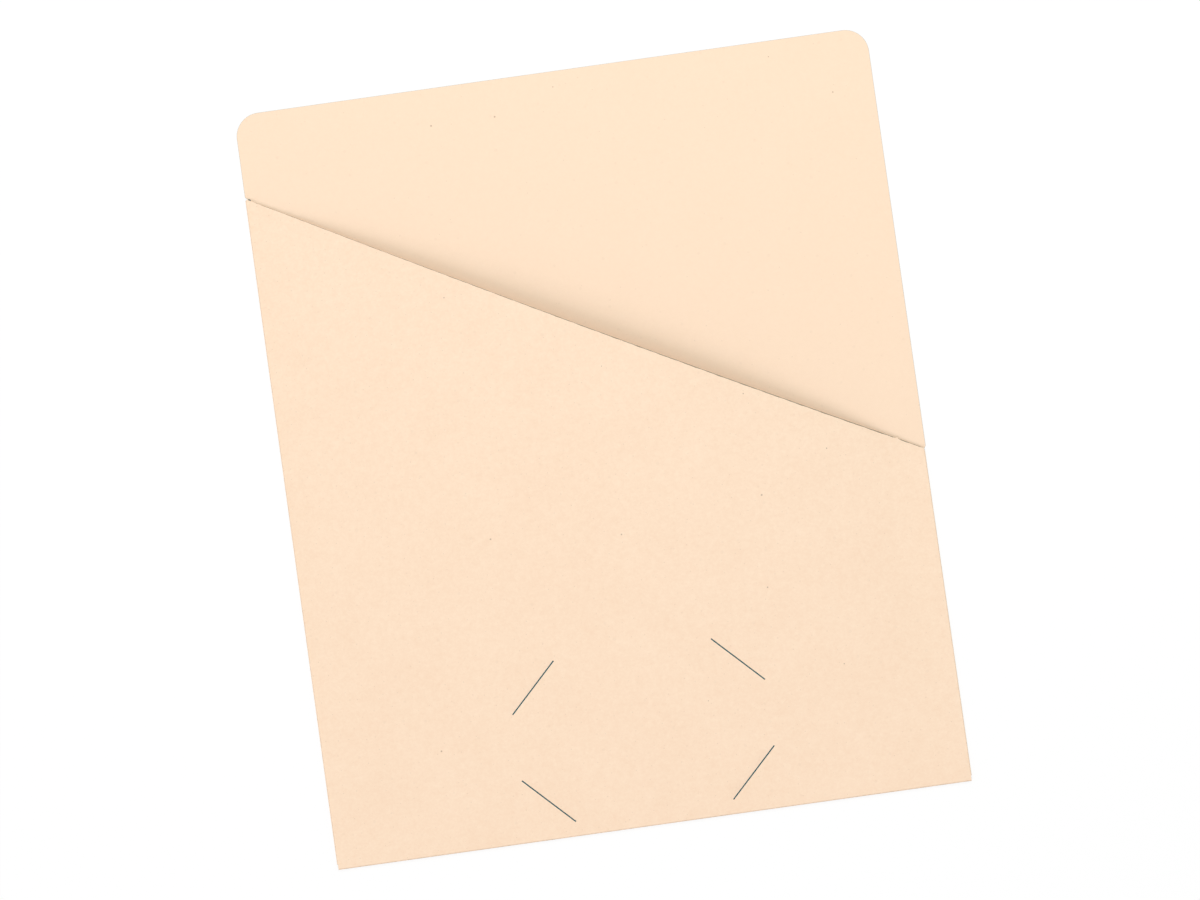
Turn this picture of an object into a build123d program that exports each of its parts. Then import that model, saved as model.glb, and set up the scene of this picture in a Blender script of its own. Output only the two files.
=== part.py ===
from build123d import *
from math import atan, degrees, radians, tan
import os

# A slash-pocket folder of manila board, letter size. One die-cut blank is creased and folded up:
# the front panel turns up at the bottom crease, and a narrow flap on each side of the back
# turns in and is glued under the front. X is across, Y up the folder, Z out of the front.

# Board and paper stack, in millimetres
board = 0.28
crease_gap = 0.10
glue_thickness = 0.06

# Back panel
width = 241.3
height = 287.0
corner_radius = 9.0
right_inset = 0.5

# Pocket mouth: its two ends below the top edge, the bow of the lip between them, and how far
# the front turns about the bottom crease when the mouth is opened wide
slash_left_drop = 32.0
slash_right_drop = 160.7
lip_rise = 7.0
lip_lean = 0.11
lip_setback = 1.6
mouth_angle = 6.0
foot_clearance = 0.01

# Nicks of the die where the side creases end under the mouth, and the short cut beyond the left one
crease_relief = 0.5
nick_depth = 0.9
nick_height = 0.8
step_height = 0.9
end_cut_length = 1.0
end_cut_width = 0.3
end_cut_bridge = 0.25

# Glue flaps and the glue line on each
flap_width = 9.5
flap_foot = 2.0
flap_foot_mitre = 4.0
flap_head_mitre = 3.0
glue_width = 6.0
glue_end_margin = 4.0

# Four corner slits that hold a business card
slit_length = 25.4
slit_width = 0.35
slit_angle = 45.0
slits_across = 77.7
slits_up = 43.0
slits_centre_x = 0.4
slits_centre_height = 36.1

# Levels of the folded stack, from the underside of the back
flap_low = board + crease_gap
flap_top = flap_low + board
front_low = flap_top + glue_thickness
front_top = front_low + board
side_fold_radius = flap_top / 2
bottom_fold_radius = front_top / 2

# Upright lines of the folder: outer edges, then the lines where the side creases start
left_edge = -width / 2
right_edge = width / 2
left_crease = left_edge + side_fold_radius
right_crease = right_edge - right_inset - side_fold_radius
slash_left = height - slash_left_drop
slash_right = height - slash_right_drop
left_crease_top = slash_left - crease_relief
right_crease_top = slash_right - crease_relief

# The bottom crease, and the foot of the front, which tips towards it as the mouth opens
bottom_crease = bottom_fold_radius
front_foot = bottom_crease + bottom_fold_radius * tan(radians(mouth_angle)) + foot_clearance
slash_slope = (slash_right - slash_left) / (right_crease - left_crease)
bow_left = left_crease + flap_width
bow_right = right_crease - flap_width


def plate(points, low, thickness):
    """A flat piece of the given outline."""
    return Pos(0, 0, low) * extrude(make_face(Polyline(*points, close=True)), thickness)


def end_cut():
    """The short cut beyond the left nick, in line with the mouth and a bridge of board away."""
    reach = Vector(1, slash_slope).normalized()
    centre = Vector(left_edge + nick_depth, slash_left) + reach * (end_cut_bridge + end_cut_length / 2)
    slant = degrees(atan(slash_slope))
    return Pos(centre) * Rot(0, 0, slant) * Rectangle(end_cut_length, end_cut_width)


def back_panel():
    """The flat back, with round top corners and the die's nicks at both ends of the mouth."""
    outline = [
        (left_crease, bottom_crease),
        (right_crease, bottom_crease),
        (right_crease, right_crease_top),
        (right_edge - right_inset, slash_right),
        (right_edge, slash_right + step_height),
        (right_edge, height),
        (left_edge, height),
        (left_edge, slash_left + nick_height),
        (left_edge + nick_depth, slash_left),
        (left_crease, left_crease_top),
    ]
    face = make_face(Polyline(*outline, close=True))
    top_corners = face.vertices().group_by(Axis.Y)[-1]
    return extrude(fillet(top_corners, corner_radius) - end_cut(), board)


def fold(start, across, along, outer_radius, length):
    """A half-round crease of the board, with its open side towards `across`."""
    ring = Circle(outer_radius) - Circle(outer_radius - board)
    open_half = Pos(outer_radius, 0) * Rectangle(2 * outer_radius, 2 * outer_radius)
    return extrude(Plane(start, x_dir=across, z_dir=along) * (ring - open_half), length)


def bottom_fold():
    start = (left_crease, bottom_crease, bottom_fold_radius)
    return fold(start, (0, 1, 0), (1, 0, 0), bottom_fold_radius, right_crease - left_crease)


def left_fold():
    start = (left_crease, left_crease_top, side_fold_radius)
    return fold(start, (1, 0, 0), (0, -1, 0), side_fold_radius, left_crease_top - flap_foot)


def right_fold():
    start = (right_crease, flap_foot, side_fold_radius)
    return fold(start, (-1, 0, 0), (0, 1, 0), side_fold_radius, right_crease_top - flap_foot)


def slash_height(x):
    """Height of the mouth's slanted edge at x, before the bow draws it down."""
    return slash_left + slash_slope * (x - left_crease)


def lip_point(share, rise):
    """A control point of the bowed lip, at a share of the way across the bow."""
    x = bow_left + share * (bow_right - bow_left)
    setback = lip_setback * rise / lip_rise
    return (x, slash_height(x) - setback, front_low + rise)


def front_panel():
    """The pocket's front: flat where it is glued, bowed between, slit for the corners of a card."""
    base = Edge.make_line((bow_left, front_foot, front_low), (bow_right, front_foot, front_low))
    handle = lip_rise * 4 / 3
    lip = Edge.make_bezier(
        lip_point(0, 0),
        lip_point(1 / 3, handle * (1 - lip_lean)),
        lip_point(2 / 3, handle * (1 + lip_lean)),
        lip_point(1, 0),
    )
    panel = Solid.extrude(Face.make_surface_from_curves(base, lip), Vector(0, 0, board))
    for outer, inner in ((left_crease, bow_left), (right_crease, bow_right)):
        strip = [
            (outer, front_foot),
            (inner, front_foot),
            (inner, slash_height(inner)),
            (outer, slash_height(outer)),
        ]
        panel += plate(strip, front_low, board)
    for side in (-1, 1):
        for end in (-1, 1):
            place = Pos(
                slits_centre_x + side * slits_across / 2,
                slits_centre_height + end * slits_up / 2,
            )
            slit = place * Rot(0, 0, -side * end * slit_angle) * Rectangle(slit_length, slit_width)
            panel -= extrude(slit, front_top + lip_rise)
    return panel


def flap_outline(crease, inward, crease_top):
    """A glue flap's corners: its root on the crease, mitred at the foot and under the mouth."""
    tip = crease + inward * flap_width
    head = crease_top - flap_head_mitre + min(0, inward * slash_slope * flap_width)
    return [
        (crease, flap_foot),
        (tip, flap_foot + flap_foot_mitre),
        (tip, head),
        (crease, crease_top),
    ]


def glue_outline(crease, inward, crease_top):
    """A glue line's corners: a strip along the middle of the flap."""
    outline = flap_outline(crease, inward, crease_top)
    near = crease + inward * (flap_width - glue_width) / 2
    far = near + inward * glue_width
    low = outline[1][1] + glue_end_margin
    high = outline[2][1] - glue_end_margin
    return [(near, low), (far, low), (far, high), (near, high)]


left_side = (left_crease, 1, left_crease_top)
right_side = (right_crease, -1, right_crease_top)
nodes = {
    "back_panel": back_panel(),
    "bottom_fold": bottom_fold(),
    "left_fold": left_fold(),
    "right_fold": right_fold(),
    "front_panel": front_panel(),
    "left_glue_flap": plate(flap_outline(*left_side), flap_low, board),
    "right_glue_flap": plate(flap_outline(*right_side), flap_low, board),
    "left_glue_line": plate(glue_outline(*left_side), flap_top, glue_thickness),
    "right_glue_line": plate(glue_outline(*right_side), flap_top, glue_thickness),
}

# The part's origin lies under the middle of the back, on the surface it rests on
os.makedirs("parts", exist_ok=True)
for name, solid in nodes.items():
    export_step(Pos(0, -height / 2, 0) * solid, f"parts/{name}.step")
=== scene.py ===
from math import ceil, cos, pi, radians, sin, sqrt

import bpy
import numpy as np
from mathutils import Matrix, Vector
from mathutils.geometry import delaunay_2d_cdt


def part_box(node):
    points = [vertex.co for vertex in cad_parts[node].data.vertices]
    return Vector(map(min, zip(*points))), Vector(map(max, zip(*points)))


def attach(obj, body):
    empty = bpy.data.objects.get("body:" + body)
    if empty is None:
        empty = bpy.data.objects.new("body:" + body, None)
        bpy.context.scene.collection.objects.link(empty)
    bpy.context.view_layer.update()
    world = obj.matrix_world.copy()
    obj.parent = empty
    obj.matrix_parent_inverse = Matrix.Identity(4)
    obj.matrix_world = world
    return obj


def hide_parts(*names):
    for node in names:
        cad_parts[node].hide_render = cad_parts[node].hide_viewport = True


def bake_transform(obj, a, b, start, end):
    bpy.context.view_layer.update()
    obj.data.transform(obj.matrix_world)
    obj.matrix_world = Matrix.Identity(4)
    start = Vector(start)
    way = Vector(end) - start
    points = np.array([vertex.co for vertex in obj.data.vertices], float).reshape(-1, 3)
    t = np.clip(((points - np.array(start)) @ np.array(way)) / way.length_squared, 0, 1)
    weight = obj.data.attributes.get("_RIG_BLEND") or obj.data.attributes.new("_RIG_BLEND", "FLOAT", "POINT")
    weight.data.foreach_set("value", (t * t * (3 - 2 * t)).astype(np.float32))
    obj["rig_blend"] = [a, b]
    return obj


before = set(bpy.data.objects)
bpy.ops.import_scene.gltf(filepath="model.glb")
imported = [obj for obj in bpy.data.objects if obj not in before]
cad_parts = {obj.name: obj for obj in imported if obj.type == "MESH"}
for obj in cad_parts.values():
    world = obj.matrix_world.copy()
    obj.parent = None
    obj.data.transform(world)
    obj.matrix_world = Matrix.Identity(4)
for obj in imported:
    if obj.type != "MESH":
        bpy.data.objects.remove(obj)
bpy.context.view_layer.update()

# A slash-pocket folder of manila board. Each panel is drawn in plan, as it lies on the flat blank,
# filled with even triangles, and then placed in space: bowed, and rolled round its crease.
# Lengths are in millimetres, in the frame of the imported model, until a mesh is made.
MM = 0.001


def box_mm(node):
    """Lowest and highest corner of a CAD node, in millimetres."""
    low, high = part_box(node)
    return low / MM, high / MM


back_low, back_high = box_mm("back_panel")
front_low, front_high = box_mm("front_panel")
flap_low, flap_high = box_mm("left_glue_flap")
glue_low, glue_high = box_mm("left_glue_line")
bottom_edge = box_mm("bottom_fold")[0].y
left_crease_top = box_mm("left_fold")[1].y
fold_right, right_crease_top, _ = box_mm("right_fold")[1]

# Outer edges of the back, the creases, and the two ends of the mouth
board = back_high.z - back_low.z
left_edge = back_low.x
right_edge = back_high.x
top_edge = back_high.y
left_crease = front_low.x
right_crease = front_high.x
bottom_crease = back_low.y
middle = (left_crease + right_crease) / 2
slash_left = front_high.y
crease_relief = slash_left - left_crease_top
slash_right = right_crease_top + crease_relief
slash_slope = (slash_right - slash_left) / (right_crease - left_crease)

# What the die leaves: round corners, nicks at the ends of the mouth, a short cut beyond the left
# nick, and a cut edge that slopes a little, less along the front's glued sides and more along the
# slits and the lip, where the sloped edges show painted shade from above
corner_radius = 9.0
nick_depth = 0.9
nick_height = 0.8
step_height = 0.9
end_cut_length = 1.0
end_cut_width = 0.02
end_cut_bridge = 0.25
cut_slope = 0.10
side_slope = 0.03
slit_slope = 0.21
lip_slope = 0.26
cut_drop = 0.12

# The lip of the mouth, which stands off the back between the glued sides
flap_width = flap_high.x - flap_low.x
bow_left = left_crease + flap_width
bow_right = right_crease - flap_width
lip_rise = 7.0
lip_lean = 0.11
lip_setback = 1.6
lip_ease = 7.0
lip_flush = 3.0

# The stub of a tie that held the blank in its sheet, on the lip near the right end
tie_width = 0.7
tie_head = 0.42
tie_height = 0.4
tie_place = right_crease - 9.5

# Slits that hold the corners of a card
slit_length = 25.4
slit_width = 0.06
slits_across = 77.7
slits_up = 43.0
slits_centre = Vector((0.4, bottom_edge + 36.1))

# Glue flaps and the lines of glue on them
flap_foot = flap_low.y
flap_foot_mitre = 4.0
flap_head_mitre = 3.0
glue_width = glue_high.x - glue_low.x
glue_end_margin = 4.0

# Kinds of surface on a piece of board, which number its material slots
UPPER, LOWER, EDGE, SLIT, LIP = range(5)

# Fineness of the meshes, and the angle from which an edge is shown sharp
spacing = 4.0
rim_spacing = 2.0
corner_steps = 16
roll_steps = 8
ease_steps = 15
sharp_angle = radians(30)


def lip_rise_at(x):
    """How far the lip stands off its flat place, eased where the glued sides let go of it."""
    total = 0
    for shift in np.linspace(-lip_ease, lip_ease, ease_steps):
        share = np.clip((x + shift - bow_left) / (bow_right - bow_left), 0, 1)
        lean = 1 + lip_lean * (2 * share - 1)
        total = total + 4 * lip_rise * share * (1 - share) * lean
    return total / ease_steps


def lip_height_at(x):
    """Height of the mouth's edge, drawn down a little where the lip stands off."""
    straight = slash_left + slash_slope * (x - left_crease)
    return straight - lip_setback * lip_rise_at(x) / lip_rise


def lip_shade_share_at(x):
    """How wide the lip's sloped edge and its painted shade are, as a share: none at its flush start,
    most to the right, and a little unevenly all along."""
    length = right_crease - left_crease
    places = [lip_flush, lip_flush + 1, 0.7 * length, 0.93 * length, length]
    shares = [0, 0.35, 1, 1, 0.6]
    ripple = 0.35 * np.sin(1.1 * x) * np.sin(0.43 * x)
    return np.interp(x - left_crease, places, shares) * (1 + ripple)


def bow(x, y):
    """Height of the front over its flat place: straight from the foot up to the lip."""
    share = np.clip((y - bottom_crease) / (lip_height_at(x) - bottom_crease), 0, 1)
    return share * lip_rise_at(x)


def roll_length(low):
    """Length of the blank taken up by a half turn from a panel at this height down to the back."""
    return pi * low / 2


def beyond_crease(low):
    """Even steps over that length, from the crease to the far end."""
    return np.linspace(0, roll_length(low), roll_steps + 1)


def roll(beyond, low, depth):
    """Reach and height of board rolled round a crease, at a distance beyond it on the blank."""
    turn = np.clip(beyond / low * 2, 0, pi)
    radius = (low - board) / 2 + depth
    return radius * np.sin(turn), (low + board) / 2 + radius * np.cos(turn)


def place_back(plan, depth):
    return np.column_stack([plan, np.full(len(plan), depth)])


def place_front(plan, depth):
    """The front: bowed over the back, and rolled under at the bottom crease."""
    x, y = plan.T
    reach, height = roll(bottom_crease - y, front_low.z, depth)
    return np.column_stack([x, np.maximum(y, bottom_crease) - reach, height + bow(x, y)])


def place_left(plan, depth):
    """The left flap: under the front, and rolled under at the left crease."""
    x, y = plan.T
    reach, height = roll(left_crease - x, flap_low.z, depth)
    return np.column_stack([np.maximum(x, left_crease) - reach, y, height + bow(x, y)])


def place_right(plan, depth):
    """The right flap, the other way round."""
    x, y = plan.T
    reach, height = roll(x - right_crease, flap_low.z, depth)
    return np.column_stack([np.minimum(x, right_crease) + reach, y, height + bow(x, y)])


def place_glue(plan, depth):
    x, y = plan.T
    return np.column_stack([x, y, glue_low.z + depth + bow(x, y)])


def resample(corners, step):
    """A closed line through the corners, with points at most a step apart."""
    points = []
    for start, end in zip(corners, corners[1:] + corners[:1]):
        start = np.array(start)
        end = np.array(end)
        count = max(1, ceil(np.linalg.norm(end - start) / step))
        points += [start + (end - start) * i / count for i in range(count)]
    return points


def between(start, end):
    """Even places between two corners of a line, where resample puts its points."""
    count = ceil((end - start) / rim_spacing)
    return np.linspace(start, end, count + 1)[1:-1]


def fill(loops, rows):
    """Even triangles inside the first loop and outside the others: points in plan, and faces."""
    rim = np.array([point for loop in loops for point in loop])
    fixed = np.array([*rim, *rows])
    starts = np.cumsum([0] + [len(loop) for loop in loops])
    outlines = [list(range(a, b)) for a, b in zip(starts, starts[1:])]
    columns = np.arange(rim[:, 0].min(), rim[:, 0].max(), spacing)
    lines = np.arange(rim[:, 1].min(), rim[:, 1].max(), spacing * sqrt(0.75))
    grid = np.array([(x + i % 2 * spacing / 2, y) for i, y in enumerate(lines) for x in columns])
    nearest = np.min(np.linalg.norm(grid[:, None] - fixed, axis=2), axis=1)
    clear = grid[nearest > 0.7 * rim_spacing]
    points = [Vector(point) for point in [*fixed, *clear]]
    plan, _, triangles, _, _, inside = delaunay_2d_cdt(points, [], outlines, 1, 1e-5)
    faces = [face for face, loop in zip(triangles, inside) if loop == [0]]
    used = sorted({corner for face in faces for corner in face})
    new_index = {old: new for new, old in enumerate(used)}
    return np.array([plan[i] for i in used]), [[new_index[i] for i in face] for face in faces]


def rim_order(faces):
    """The point that follows each point of the rim, with the board on the left of the way."""
    sides = {(face[i - 1], face[i]) for face in faces for i in range(3)}
    return {a: b for a, b in sides if (b, a) not in sides}


def outward_at(plan, following):
    """Directions out of the board in plan, at the points of the rim in the order of their numbers."""
    before = {b: a for a, b in following.items()}
    rim = sorted(following)
    tangent = plan[[following[i] for i in rim]] - plan[[before[i] for i in rim]]
    outward = np.column_stack([tangent[:, 1], -tangent[:, 0]])
    return outward / np.linalg.norm(outward, axis=1)[:, None]


def slope_at(points, kind, place, thickness, edge_slope):
    """How far the cut edge slopes in at points of the rim. An edge that is rolled under is square."""
    slope = np.minimum(np.array([0, 0, edge_slope, slit_slope, lip_slope])[kind], thickness)
    slope[kind == LIP] *= lip_shade_share_at(points[kind == LIP, 0])
    rolled_under = place(points, thickness)[:, 2] < place(points, 0)[:, 2]
    slope[rolled_under] = 0
    return slope


def make_piece(name, points, faces, kinds, materials):
    """A mesh of the given faces, each with the material of its kind of surface."""
    mesh = bpy.data.meshes.new(name)
    mesh.from_pydata(points * MM, [], faces)
    for material in materials:
        mesh.materials.append(material)
    mesh.polygons.foreach_set("material_index", kinds)
    mesh.shade_smooth()
    mesh.set_sharp_from_angle(angle=sharp_angle)
    piece = bpy.data.objects.new(name, mesh)
    bpy.context.scene.collection.objects.link(piece)
    return piece


def sheet(name, loops, place, thickness, materials, rows=(), edge_slope=cut_slope, lip=None):
    """A piece of board, and where each of its points lies in plan. The materials are in the
    order of the kinds of surface, rows are points that it needs inside its outline, edge_slope
    is for its plain edges, and lip tells which rim points lie on the lip, with its painted shade."""
    plan, faces = fill(loops, rows)
    following = rim_order(faces)
    rim = sorted(following)
    # Rim points of the holes are slits, whose walls carry painted shade
    kind = np.where(np.array(rim) < len(loops[0]), EDGE, SLIT)
    if lip:
        kind[lip(*plan[rim].T)] = LIP
    slope = slope_at(plan[rim], kind, place, thickness, edge_slope)
    drawn_in = plan.copy()
    drawn_in[rim] -= slope[:, None] * outward_at(plan, following)
    points = np.concatenate([
        place(drawn_in, thickness),
        place(plan, 0),
        place(plan[rim], thickness - min(cut_drop, thickness / 2)),
    ])
    count = len(plan)
    ring = {point: 2 * count + i for i, point in enumerate(rim)}
    kind_of = dict(zip(rim, kind))
    below = [[count + i for i in reversed(face)] for face in faces]
    walls = []
    kinds = [UPPER] * len(faces) + [LOWER] * len(below)
    for a, b in following.items():
        walls.append([count + a, count + b, ring[b], ring[a]])
        walls.append([ring[a], ring[b], b, a])
        kinds += [kind_of[a]] * 2
    piece = make_piece(name, points, faces + below + walls, kinds, materials)
    return piece, np.concatenate([plan, plan, plan[rim]])


def corner_arc(centre_x, start):
    """Points round one top corner of the back, a quarter turn from the start angle."""
    turns = np.linspace(start, start + pi / 2, corner_steps)
    centre_y = top_edge - corner_radius
    return [(centre_x + corner_radius * cos(t), centre_y + corner_radius * sin(t)) for t in turns]


def back_loop():
    corners = [
        (left_crease, bottom_crease),
        (right_crease, bottom_crease),
        (right_crease, right_crease_top),
        (fold_right, slash_right),
        (right_edge, slash_right + step_height),
        *corner_arc(right_edge - corner_radius, 0),
        *corner_arc(left_edge + corner_radius, pi / 2),
        (left_edge, slash_left + nick_height),
        (left_edge + nick_depth, slash_left),
        (left_crease, left_crease_top),
    ]
    return resample(corners, rim_spacing)


def lip_line():
    """Points along the lip from right to left, with the stub of the tie."""
    even = np.linspace(left_crease, right_crease, ceil((right_crease - left_crease) / rim_spacing))
    foot = tie_width / 2
    head = tie_head / 2
    stub = tie_place + np.array([-foot, -head, head, foot])
    across = np.sort(np.append(even[abs(even - tie_place) > tie_width], stub))[::-1]
    rise = np.interp(abs(across - tie_place), [head, foot], [tie_height, 0])
    return zip(across, lip_height_at(across) + rise)


def on_lip(x, y):
    """Which points lie on the lip between its corners, clear of the tie's stub."""
    free = (x > left_crease) & (x < right_crease) & (abs(x - tie_place) > 0.6 * tie_width)
    return free & (y > lip_height_at(x) - rim_spacing / 2)


def front_loop():
    rolled = bottom_crease - beyond_crease(front_low.z)
    left = [(left_crease, y) for y in rolled]
    right = [(right_crease, y) for y in rolled[::-1]]
    return resample([*left, *right, *lip_line()], rim_spacing)


def front_rows():
    """Points that let the front roll smoothly round the bottom crease."""
    rolled = bottom_crease - beyond_crease(front_low.z)[:-1]
    return [(x, y) for y in rolled for x in between(left_crease, right_crease)]


def cut_loop(centre, direction, length, width):
    """A narrow cut through the board."""
    along = direction.normalized() * length / 2
    across = along.orthogonal().normalized() * width / 2
    corners = [centre - along - across, centre + along - across, centre + along + across]
    corners.append(centre - along + across)
    return resample([tuple(corner) for corner in corners], rim_spacing)


def slit_loop(side, end):
    """The slit for one corner of the card."""
    centre = slits_centre + Vector((side * slits_across / 2, end * slits_up / 2))
    return cut_loop(centre, Vector((1, -side * end)), slit_length, slit_width)


def end_cut_loop():
    """The short cut in the back beyond the left nick, in line with the mouth. Its walls carry painted shade,
    as the slits' do.
    """
    direction = Vector((1, slash_slope)).normalized()
    tip = Vector((left_edge + nick_depth, slash_left))
    centre = tip + direction * (end_cut_bridge + end_cut_length / 2)
    return cut_loop(centre, direction, end_cut_length, end_cut_width)


def flap_corners(crease, inward, crease_top):
    """A glue flap's free corners, mitred at the foot and under the mouth."""
    tip = crease + inward * flap_width
    head = crease_top - flap_head_mitre + min(0, inward * slash_slope * flap_width)
    return [(tip, flap_foot + flap_foot_mitre), (tip, head)]


def flap_loop(crease, inward, crease_top):
    rolled = crease - inward * beyond_crease(flap_low.z)
    foot = [(x, flap_foot) for x in rolled[::-1]]
    top = [(x, crease_top) for x in rolled]
    return resample([*foot, *flap_corners(crease, inward, crease_top), *top][::inward], rim_spacing)


def flap_rows(crease, inward, crease_top):
    """Points that let the flap roll smoothly round its crease."""
    rolled = crease - inward * beyond_crease(flap_low.z)[:-1]
    return [(x, y) for x in rolled for y in between(flap_foot, crease_top)]


def glue_loop(crease, inward, crease_top):
    """A line of glue along the middle of the flap."""
    (_, low), (_, high) = flap_corners(crease, inward, crease_top)
    low += glue_end_margin
    high -= glue_end_margin
    near = crease + inward * (flap_width - glue_width) / 2
    far = near + inward * glue_width
    return resample([(near, low), (far, low), (far, high), (near, high)][::inward], rim_spacing)


class Shading:
    """The nodes of a material or of the world, which are added and linked in one call each."""

    def __init__(self, owner):
        owner.use_nodes = True
        self.owner = owner
        self.tree = owner.node_tree
        self.tree.nodes.clear()

    def add(self, kind, inputs, **settings):
        node = self.tree.nodes.new("ShaderNode" + kind)
        for name, value in settings.items():
            setattr(node, name, value)
        for name, value in inputs.items():
            if isinstance(value, bpy.types.NodeSocket):
                self.tree.links.new(value, node.inputs[name])
            else:
                node.inputs[name].default_value = value
        return node

    def place(self):
        return self.add("TexCoord", {}).outputs["Object"]

    def stretched(self, angle, width, length):
        """Coordinates in which noise of size one gives strands of this width and length."""
        inputs = {"Vector": self.place(), "Rotation": (0, 0, radians(angle))}
        turned = self.add("Mapping", inputs).outputs["Vector"]
        scale = (1 / (length * MM), 1 / (width * MM), 1 / (width * MM))
        return self.add("Mapping", {"Vector": turned, "Scale": scale}).outputs["Vector"]

    def noise(self, place, scale, detail=2.0, roughness=0.5):
        inputs = {"Vector": place, "Scale": scale, "Detail": detail, "Roughness": roughness}
        return self.add("TexNoise", inputs).outputs["Fac"]

    def cloud(self, size, detail=2.0, roughness=0.5):
        """Cloudy noise with features of the given size in millimetres, from 0 to 1."""
        value = self.noise(self.place(), 1 / (size * MM), detail, roughness)
        return self.ramp(value, 0.25, 0.75, 0, 1)

    def flecks(self, cell, radius, share):
        """Round specks up to a radius, in a share of cells of the given size."""
        inputs = {"Vector": self.place(), "Scale": 1 / (cell * MM)}
        cells = self.add("TexVoronoi", inputs, voronoi_dimensions="2D")
        chance = self.add("SeparateColor", {"Color": cells.outputs["Color"]}).outputs
        rim = self.ramp(chance["Green"], 0, 1, 0.5 * radius / cell, radius / cell)
        depth = self.math("DIVIDE", cells.outputs["Distance"], rim)
        chosen = self.math("LESS_THAN", chance["Red"], share)
        return self.math("MULTIPLY", self.ramp(depth, 0.6, 1, 1, 0), chosen)

    def ramp(self, value, low, high, to_low, to_high):
        """A value drawn from one range to another, held at both ends."""
        inputs = {"Value": value, 1: low, 2: high, 3: to_low, 4: to_high}
        return self.add("MapRange", inputs).outputs["Result"]

    def mix(self, share, a, b):
        return self.add("Mix", {0: share, 6: a, 7: b}, data_type="RGBA").outputs[2]

    def math(self, operation, a, b):
        return self.add("Math", {0: a, 1: b}, operation=operation).outputs[0]

    def sum(self, *weighted):
        """The sum of values, each with its weight."""
        total = 0.0
        for value, weight in weighted:
            total = self.math("ADD", self.math("MULTIPLY", value, weight), total)
        return total

    def seen(self):
        """One where it is seen, straight on or in a gloss, and zero where it only gives light."""
        rays = self.add("LightPath", {}).outputs
        shown = self.math("MAXIMUM", rays["Is Camera Ray"], rays["Is Glossy Ray"])
        return self.math("MAXIMUM", shown, rays["Is Transmission Ray"])

    def choose(self, share, a, b):
        return self.add("MixShader", {0: share, 1: a, 2: b}).outputs[0]

    def output(self, kind, shader):
        self.add("Output" + kind, {"Surface": shader})
        return self.owner


def board_material(name, light, dark, specks=0.15):
    """Uncoated manila board: cloudy stock, short fibres, a fine tooth, and specks, of which the
    small ones come in a given share of places."""
    s = Shading(bpy.data.materials.new(name))
    fibres = [s.noise(s.stretched(angle, width=0.12, length=1.6), scale=1) for angle in (25, -50)]
    strands = s.sum((fibres[0], 0.5), (fibres[1], 0.5))
    grain = s.cloud(size=1.1, roughness=0.6)
    mottle = s.cloud(size=2.6)
    clouds = s.cloud(size=22, detail=3)
    stock = s.sum((clouds, 0.15), (mottle, 0.25), (grain, 0.37), (strands, 0.23))
    faint = s.math("MULTIPLY", s.flecks(cell=9, radius=0.8, share=0.4), 0.05)
    small = s.math("MULTIPLY", s.flecks(cell=5, radius=0.26, share=specks), 0.2)
    bold = s.math("MULTIPLY", s.flecks(cell=26, radius=0.42, share=0.22), 0.6)
    painted_crease_shade = s.add("Attribute", {}, attribute_name="painted_crease_shade").outputs["Fac"]
    colour = s.mix(stock, dark, light)
    for fleck in (faint, small, bold):
        colour = s.mix(fleck, colour, fleck_tone)
    # Painted shade on the roll of the bottom crease, broken up by the grain
    colour = s.mix(s.math("MULTIPLY", painted_crease_shade, grain), colour, crease_shade_tone)
    tooth = s.sum((strands, 0.6), (s.cloud(size=0.45, roughness=0.6), 0.4))
    bump = s.add("Bump", {"Height": tooth, "Strength": 0.4, "Distance": 0.03 * MM})
    inputs = {
        "Base Color": colour,
        "Roughness": s.ramp(grain, 0, 1, 0.78, 0.9),
        "Specular IOR Level": 0.25,
        "Normal": bump.outputs["Normal"],
    }
    return s.output("Material", s.add("BsdfPrincipled", inputs).outputs["BSDF"])


def glue_material():
    """Dried paper glue: streaky, a little glossy."""
    s = Shading(bpy.data.materials.new("dried_glue"))
    streak = s.cloud(size=2.5)
    bump = s.add("Bump", {"Height": streak, "Strength": 0.3, "Distance": 0.03 * MM})
    inputs = {
        "Base Color": s.mix(streak, *glue_tones),
        "Roughness": s.ramp(streak, 0, 1, 0.35, 0.55),
        "Normal": bump.outputs["Normal"],
    }
    return s.output("Material", s.add("BsdfPrincipled", inputs).outputs["BSDF"])


fleck_tone = (0.38, 0.26, 0.17, 1)
# Painted shade for the roll of the bottom crease
crease_shade_tone = (0.64, 0.50, 0.36, 1)
glue_tones = [(0.78, 0.68, 0.48, 1), (0.88, 0.81, 0.64, 1)]
outside = board_material("manila_outside", (0.996, 0.797, 0.611, 1), (0.914, 0.673, 0.487, 1), specks=0.8)
inside = board_material("manila_inside", (0.971, 0.756, 0.570, 1), (0.939, 0.714, 0.528, 1))
# Cut edges: raw board a little darker than its faces, and darker still as painted shade along the edges
cut_edge_and_painted_shade = board_material("cut_edge_and_painted_shade", (0.57, 0.48, 0.36, 1), (0.45, 0.38, 0.28, 1))
# Painted shade along the lip's sloped cut edge, where the lip stands off the back
lip_painted_shade = board_material("lip_painted_shade", (0.42, 0.35, 0.25, 1), (0.10, 0.08, 0.05, 1))
# Painted shade in the slits and the short end cut, dark and a little teal
slit_painted_shade = board_material("slit_painted_shade", (0.030, 0.140, 0.160, 1), (0.020, 0.100, 0.115, 1))
glue = glue_material()


def freedom(plan):
    """Share of the mouth's motion at each point: none at the sides, all along the middle."""
    x, y = plan.T
    share = np.clip(1 - abs(x - middle) / (middle - left_crease), 0, 1)
    out_of_roll = np.clip(1 - (bottom_crease - y) / roll_length(front_low.z), 0, 1)
    return share * share * (3 - 2 * share) * out_of_roll


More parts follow.
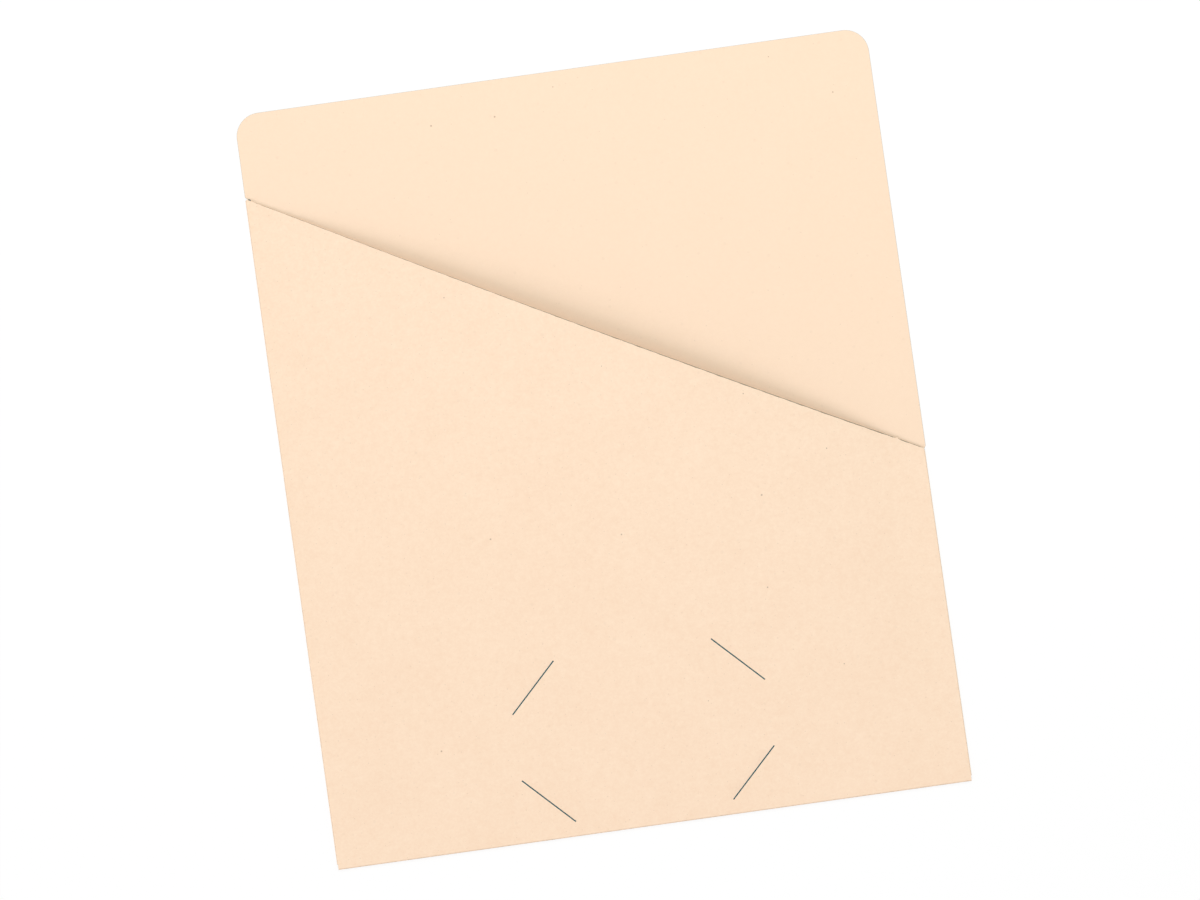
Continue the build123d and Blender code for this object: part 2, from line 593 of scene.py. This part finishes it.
def set_values(piece, name, values):
    """Writes one value per point to the mesh."""
    mesh = piece.data
    attribute = mesh.attributes.get(name) or mesh.attributes.new(name, "FLOAT", "POINT")
    attribute.data.foreach_set("value", np.asarray(values, np.float32))


def bend_with_mouth(piece, plan):
    """Bends the piece as the mouth opens: it is held by the back at both sides."""
    side = Vector((left_crease, 0, 0)) * MM
    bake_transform(piece, "back", "front", side, Vector((middle, 0, 0)) * MM)
    set_values(piece, "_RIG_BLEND", freedom(plan))


def stand_for(piece, slot, *nodes):
    """Hides the CAD nodes that the piece is shown instead of. The slot is not used."""
    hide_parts(*nodes)


def make_back():
    loops = [back_loop(), end_cut_loop()]
    back, _ = sheet("back_board", loops, place_back, board, [inside, outside, cut_edge_and_painted_shade, slit_painted_shade])
    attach(back, "back")
    stand_for(back, "board", "back_panel")


def make_front():
    slits = [slit_loop(side, end) for side in (-1, 1) for end in (-1, 1)]
    loops = [front_loop(), *slits]
    materials = [outside, inside, cut_edge_and_painted_shade, slit_painted_shade, lip_painted_shade]
    rows = front_rows()
    front, plan = sheet("front_board", loops, place_front, board, materials, rows, side_slope, on_lip)
    # Marks the roll of the bottom crease for its painted shade
    set_values(front, "painted_crease_shade", plan[:, 1] < bottom_crease)
    bend_with_mouth(front, plan)
    stand_for(front, "board", "front_panel", "bottom_fold")


def make_flap(side, place, *root):
    """A flap with its crease, and the glue on it. The root is the place of the crease across the
    folder, the way inward from it, and the top of the crease."""
    loops = [flap_loop(*root)]
    materials = [outside, inside, cut_edge_and_painted_shade]
    flap, plan = sheet(side + "_flap", loops, place, board, materials, flap_rows(*root))
    bend_with_mouth(flap, plan)
    stand_for(flap, "board", side + "_glue_flap", side + "_fold")
    thickness = glue_high.z - glue_low.z
    line, plan = sheet(side + "_glue", [glue_loop(*root)], place_glue, thickness, [glue] * 3)
    bend_with_mouth(line, plan)
    stand_for(line, "glue", side + "_glue_line")


def make_floor():
    """A pale floor that the camera sees as white, with a soft shadow near the folder. Its sizes
    are in metres."""
    half = 4.0
    shadow_reach = 0.4
    white_from = 1.2
    white_share = 0.8
    mesh = bpy.data.meshes.new("floor")
    corners = [(-half, -half, 0), (half, -half, 0), (half, half, 0), (-half, half, 0)]
    mesh.from_pydata(corners, [], [(0, 1, 2, 3)])
    s = Shading(bpy.data.materials.new("floor"))
    lit = s.add("BsdfDiffuse", {"Color": (0.85, 0.85, 0.85, 1)}).outputs[0]
    shown = s.add("BsdfDiffuse", {"Color": (1, 1, 1, 1)}).outputs[0]
    white = s.add("Emission", {"Color": (1, 1, 1, 1), "Strength": 1.0}).outputs[0]
    away = s.add("VectorMath", {0: s.place()}, operation="LENGTH").outputs["Value"]
    pale = s.choose(s.ramp(away, shadow_reach, white_from, white_share, 1), shown, white)
    mesh.materials.append(s.output("Material", s.choose(s.seen(), lit, pale)))
    floor = bpy.data.objects.new("floor", mesh)
    floor.location.z = -0.1 * MM
    bpy.context.scene.collection.objects.link(floor)


def make_sky(colour, level):
    """Even soft light from all round, which the camera sees as white."""
    s = Shading(bpy.data.worlds.new("sky"))
    light = s.add("Background", {"Color": (*colour, 1), "Strength": level}).outputs[0]
    white = s.add("Background", {"Color": (1, 1, 1, 1), "Strength": 1.0}).outputs[0]
    bpy.context.scene.world = s.output("World", s.choose(s.seen(), light, white))


def make_lamp(name, place, size, colour, power):
    """A soft square lamp at a place in metres, turned to the middle of the folder."""
    data = bpy.data.lights.new(name, "AREA")
    data.size = size
    data.color = colour
    data.energy = power
    lamp = bpy.data.objects.new(name, data)
    lamp.location = place
    lamp.rotation_euler = (-Vector(place)).to_track_quat("-Z", "Y").to_euler()
    bpy.context.scene.collection.objects.link(lamp)


def make_camera():
    """The photograph's view: from above, turned so that the folder leans to the left."""
    data = bpy.data.cameras.new("camera")
    data.sensor_width = 36
    data.lens = 79.65
    camera = bpy.data.objects.new("camera", data)
    folder_place = Vector((0.95, 1.05, -1001.2)) * MM
    tilt = Matrix.Rotation(radians(-1.24), 4, "X")
    swing = Matrix.Rotation(radians(-0.25), 4, "Y")
    turn = Matrix.Rotation(radians(8.02), 4, "Z")
    to_camera = Matrix.Translation(folder_place) @ tilt @ swing @ turn
    camera.matrix_world = to_camera.inverted()
    bpy.context.scene.collection.objects.link(camera)
    bpy.context.scene.camera = camera


make_back()
make_front()
make_flap("left", place_left, left_crease, 1, left_crease_top)
make_flap("right", place_right, right_crease, -1, right_crease_top)
make_floor()
cool = (0.947, 1, 1)
warm = (1, 0.75, 0.75)
make_sky(cool, level=0.694)
make_lamp("top_lamp", place=(0.096, 0.7, 0.8), size=0.6, colour=cool, power=3.73)
make_lamp("far_lamp", place=(-0.96, -1.81, 2.03), size=1.8, colour=warm, power=22.7)
make_camera()
bpy.context.scene.view_settings.view_transform = "Standard"
